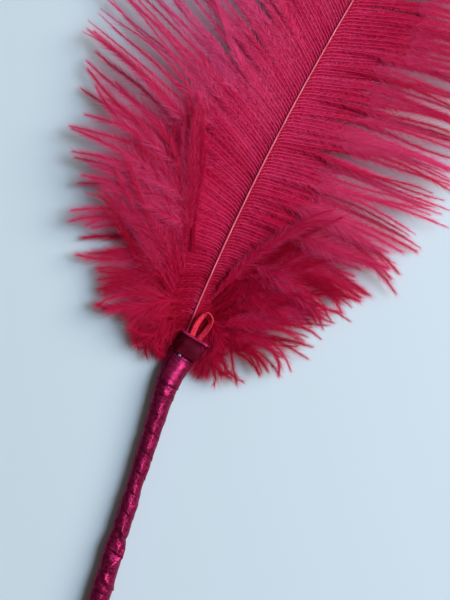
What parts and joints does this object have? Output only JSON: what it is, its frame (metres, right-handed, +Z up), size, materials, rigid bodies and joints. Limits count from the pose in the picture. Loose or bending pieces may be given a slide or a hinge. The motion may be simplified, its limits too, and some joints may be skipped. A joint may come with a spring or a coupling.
{
  "type": "ostrich feather",
  "caption": "Dyed ostrich plume lying flat, its quill bound into a slim handle wound in satin ribbon, with a folded ribbon collar and a small hanging loop.",
  "frame": {"origin": "centre of the footprint, on the surface that the feather lies on", "axes": "+X from the butt of the handle towards the plume's tip, parallel to the handle; +Z up, away from the surface; +Y to the left when looking from the butt to the tip"},
  "size_m": [0.4704, 0.1938, 0.02],
  "materials": {
    "dyed_feather": "soft dyed down and barbs, burgundy to crimson, a faint pink sheen on the shaft",
    "wood_stick": "plain turned stick, hidden under the ribbon",
    "wine_satin": "glossy satin ribbon, wine red with bright pink highlights",
    "maroon_satin": "dark maroon ribbon, dull on its flat face and glossy along the fold",
    "red_satin": "narrow bright red satin ribbon",
    "clear_glue": "clear dried glue, smooth and wet-looking"
  },
  "bodies": {
    "root": {"feather": "dyed_feather", "handle_core": "wood_stick", "ribbon_wrap": "wine_satin", "collar_band": "maroon_satin", "ribbon_loop": "red_satin", "glue_bead": "clear_glue"}
  },
  "joints": []
}
